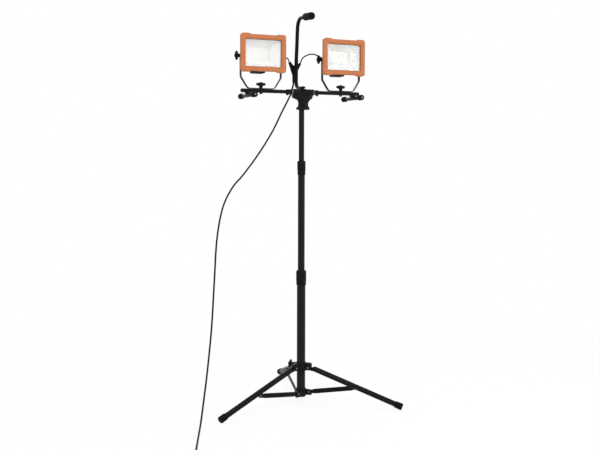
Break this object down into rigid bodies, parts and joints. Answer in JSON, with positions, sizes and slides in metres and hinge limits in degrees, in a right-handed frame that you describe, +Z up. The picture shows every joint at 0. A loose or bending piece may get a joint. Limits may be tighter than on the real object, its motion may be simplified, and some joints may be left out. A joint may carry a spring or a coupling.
{
  "type": "tripod work light",
  "caption": "Twin LED work light on a folding telescopic tripod: tilting lamps in orange frames on a crossbar with a carrying handle and cords.",
  "frame": {"origin": "on the floor, under the middle of the stand's bounding box, with the cords left out", "axes": "+Z up, along the mast; the lamps face -Y; +X is to the right of someone who looks at the lamps' fronts"},
  "size_m": [0.9439, 1.0289, 1.5757],
  "materials": {
    "black_tube": "satin black coat on steel tube",
    "black_plastic": "moulded, fine grain",
    "black_cast": "black powder coat on a casting",
    "orange_plastic": "moulded, semi-matt",
    "black_rubber": "matt",
    "black_foam": "matt foam",
    "reflector": "bright, slightly faceted",
    "clear_glass": "clear, smooth",
    "led_board": "white board with a pale yellow field",
    "cord_jacket": "matt jacket"
  },
  "bodies": {
    "stand": {"base_tube": "black_tube", "base_collar": "black_plastic", "lower_lock_ferrule": "black_plastic", "mains_lead": "cord_jacket", "mains_coil": "cord_jacket", "mains_plug": "black_plastic"},
    "lower_lock": {"lower_lock_collar": "black_plastic"},
    "leg_collar": {"leg_collar": "black_plastic"},
    "leg_clamp": {"leg_clamp_knob": "black_plastic"},
    "mast_mid": {"mid_tube": "black_tube", "upper_lock_ferrule": "black_plastic"},
    "upper_lock": {"upper_lock_collar": "black_plastic"},
    "mast_top": {"top_tube": "black_tube"},
    "head": {"t_head": "black_plastic", "crossbar": "black_tube", "bar_collar_left": "black_plastic", "bar_collar_right": "black_plastic", "cross_foot_left": "black_tube", "cross_foot_right": "black_tube", "cross_foot_cap_left_front": "black_rubber", "cross_foot_cap_left_rear": "black_rubber", "cross_foot_cap_right_front": "black_rubber", "cross_foot_cap_right_rear": "black_rubber", "handle_tube": "black_tube", "handle_grip": "black_foam", "bracket_bolt_left": "black_tube", "bracket_bolt_right": "black_tube", "y_splitter": "black_plastic", "lead_left": "cord_jacket", "lead_right": "cord_jacket"},
    "leg_right": {"leg_right": "black_tube", "leg_cap_right": "black_rubber"},
    "brace_right": {"brace_right": "black_tube"},
    "leg_left": {"leg_left": "black_tube", "leg_cap_left": "black_rubber"},
    "brace_left": {"brace_left": "black_tube"},
    "leg_rear": {"leg_rear": "black_tube", "leg_cap_rear": "black_rubber"},
    "brace_rear": {"brace_rear": "black_tube"},
    "bracket_left": {"bracket_left": "black_tube"},
    "bracket_left_knob": {"bracket_knob_left": "black_plastic"},
    "lamp_left": {"bezel_left": "orange_plastic", "glass_left": "clear_glass", "reflector_left": "reflector", "led_board_left": "led_board", "housing_left": "black_cast", "terminal_box_left": "black_cast", "gland_left": "black_plastic"},
    "tilt_left_knob": {"tilt_knob_left": "black_plastic"},
    "bracket_right": {"bracket_right": "black_tube"},
    "bracket_right_knob": {"bracket_knob_right": "black_plastic"},
    "lamp_right": {"bezel_right": "orange_plastic", "glass_right": "clear_glass", "reflector_right": "reflector", "led_board_right": "led_board", "housing_right": "black_cast", "terminal_box_right": "black_cast", "gland_right": "black_plastic"},
    "tilt_right_knob": {"tilt_knob_right": "black_plastic"}
  },
  "joints": [
    {"name": "leg_collar_slide", "type": "slide", "parent": "stand", "child": "leg_collar", "axis": [0, 0, 1], "range_m": [0, 0.312]},
    {"name": "leg_clamp_turn", "type": "hinge", "parent": "leg_collar", "child": "leg_clamp", "pos_m": [0.04107, -0.06456, 0.1545], "axis": [-0.7478, 0.6639, 0], "range_deg": [-180, 180]},
    {"name": "leg_right_hinge", "type": "hinge", "parent": "leg_collar", "child": "leg_right", "pos_m": [0.0635, -0.08448, 0.142], "axis": [0.6639, 0.7478, 0], "range_deg": [0, 60.54]},
    {"name": "leg_left_hinge", "type": "hinge", "parent": "leg_collar", "child": "leg_left", "pos_m": [0.0126, -0.07403, 0.142], "axis": [0.3156, -0.9489, 0], "range_deg": [0, 60.54]},
    {"name": "leg_rear_hinge", "type": "hinge", "parent": "leg_collar", "child": "leg_rear", "pos_m": [0.0471, -0.03517, 0.142], "axis": [-0.9796, 0.2011, 0], "range_deg": [0, 60.54]},
    {"name": "brace_right_hinge", "type": "hinge", "parent": "stand", "child": "brace_right", "pos_m": [0.0635, -0.08448, 0.037], "axis": [-0.6639, -0.7478, 0], "range_deg": [0, 69.95]},
    {"name": "brace_left_hinge", "type": "hinge", "parent": "stand", "child": "brace_left", "pos_m": [0.0126, -0.07403, 0.037], "axis": [-0.3156, 0.9489, 0], "range_deg": [0, 69.95]},
    {"name": "brace_rear_hinge", "type": "hinge", "parent": "stand", "child": "brace_rear", "pos_m": [0.0471, -0.03517, 0.037], "axis": [0.9796, -0.2011, 0], "range_deg": [0, 69.95]},
    {"name": "lower_lock_turn", "type": "hinge", "parent": "stand", "child": "lower_lock", "pos_m": [0.04107, -0.06456, 0.525], "axis": [0, 0, 1], "range_deg": [0, 120]},
    {"name": "mast_mid_slide", "type": "slide", "parent": "stand", "child": "mast_mid", "axis": [0, 0, 1], "range_m": [-0.385, 0], "deforming": ["mains_lead"]},
    {"name": "upper_lock_turn", "type": "hinge", "parent": "mast_mid", "child": "upper_lock", "pos_m": [0.04107, -0.06456, 0.97], "axis": [0, 0, 1], "range_deg": [0, 120]},
    {"name": "mast_top_slide", "type": "slide", "parent": "mast_mid", "child": "mast_top", "axis": [0, 0, 1], "range_m": [-0.185, 0.1], "deforming": ["mains_lead"]},
    {"name": "head_swivel", "type": "hinge", "parent": "mast_top", "child": "head", "pos_m": [0.04107, -0.06456, 1.198], "axis": [0, 0, 1], "range_deg": [-90, 90], "deforming": ["mains_lead"]},
    {"name": "bracket_left_swivel", "type": "hinge", "parent": "head", "child": "bracket_left", "pos_m": [-0.13543, -0.06456, 1.268], "axis": [0, 0, 1], "range_deg": [-90, 90], "deforming": ["lead_left"]},
    {"name": "bracket_left_knob_turn", "type": "hinge", "parent": "bracket_left", "child": "bracket_left_knob", "pos_m": [-0.13543, -0.06456, 1.29], "axis": [0, 0, 1], "range_deg": [0, 180]},
    {"name": "lamp_left_tilt", "type": "hinge", "parent": "bracket_left", "child": "lamp_left", "pos_m": [-0.13543, -0.06456, 1.401], "axis": [-1, 0, 0], "range_deg": [-10, 90], "deforming": ["lead_left"]},
    {"name": "tilt_left_knob_turn", "type": "hinge", "parent": "lamp_left", "child": "tilt_left_knob", "pos_m": [-0.22543, -0.06456, 1.401], "axis": [-1, 0, 0], "range_deg": [0, 180]},
    {"name": "bracket_right_swivel", "type": "hinge", "parent": "head", "child": "bracket_right", "pos_m": [0.21757, -0.06456, 1.268], "axis": [0, 0, 1], "range_deg": [-90, 90], "deforming": ["lead_right"]},
    {"name": "bracket_right_knob_turn", "type": "hinge", "parent": "bracket_right", "child": "bracket_right_knob", "pos_m": [0.21757, -0.06456, 1.29], "axis": [0, 0, 1], "range_deg": [0, 180]},
    {"name": "lamp_right_tilt", "type": "hinge", "parent": "bracket_right", "child": "lamp_right", "pos_m": [0.21757, -0.06456, 1.401], "axis": [-1, 0, 0], "range_deg": [-10, 90], "deforming": ["lead_right"]},
    {"name": "tilt_right_knob_turn", "type": "hinge", "parent": "lamp_right", "child": "tilt_right_knob", "pos_m": [0.12757, -0.06456, 1.401], "axis": [-1, 0, 0], "range_deg": [0, 180]}
  ],
  "couplings": [
    {"joint": "leg_right_hinge", "follows": "leg_collar_slide", "rad_per_m": 3.3862},
    {"joint": "leg_left_hinge", "follows": "leg_collar_slide", "rad_per_m": 3.3862},
    {"joint": "leg_rear_hinge", "follows": "leg_collar_slide", "rad_per_m": 3.3862},
    {"joint": "brace_right_hinge", "follows": "leg_collar_slide", "rad_per_m": 3.9126},
    {"joint": "brace_left_hinge", "follows": "leg_collar_slide", "rad_per_m": 3.9126},
    {"joint": "brace_rear_hinge", "follows": "leg_collar_slide", "rad_per_m": 3.9126}
  ]
}
